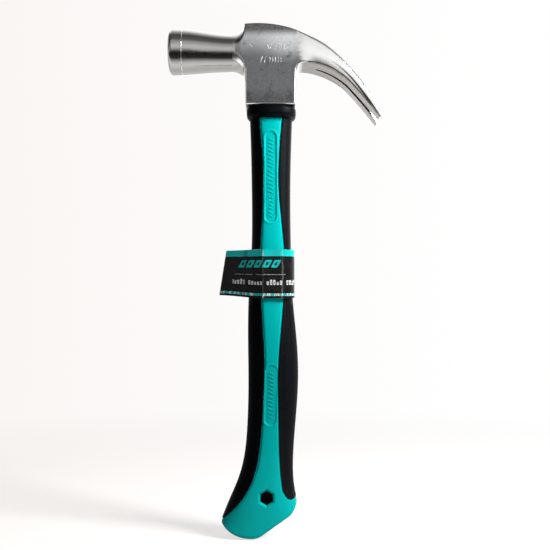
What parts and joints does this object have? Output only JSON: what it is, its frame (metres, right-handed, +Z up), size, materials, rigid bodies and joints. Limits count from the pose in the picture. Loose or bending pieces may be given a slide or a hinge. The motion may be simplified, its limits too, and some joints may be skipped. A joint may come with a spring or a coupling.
{
  "type": "claw hammer",
  "caption": "Claw hammer: forged steel head, glass-fibre core, two-shot hard and soft moulded handle, and a printed card sleeve that slides on the handle.",
  "frame": {"origin": "on the ground under the middle of the overall box, with the hammer standing on its butt", "axes": "+Z up the handle to the head, +X towards the claw and -X towards the striking face, Y across the hammer, which mirrors itself about Y = 0"},
  "size_m": [0.1248, 0.028, 0.2995],
  "materials": {
    "forged_steel": "polished poll and claw, blasted cheeks",
    "hard_teal": "moulded satin gloss",
    "soft_black": "smooth front and collar, knurled rear grip",
    "glass_fibre": "pultruded glass fibre in resin",
    "resin": "cast epoxy",
    "printed_card": "gloss laminated print",
    "glue": "hot-melt glue"
  },
  "bodies": {
    "hammer": {"head": "forged_steel", "core_rod": "glass_fibre", "eye_resin": "resin", "grip_body": "hard_teal", "soft_grip": "soft_black"},
    "label": {"label_sleeve": "printed_card", "label_glue": "glue"}
  },
  "joints": [
    {"name": "sleeve_slide", "type": "slide", "parent": "hammer", "child": "label", "axis": [0, 0, 1], "range_m": [-0.003, 0.074]}
  ]
}
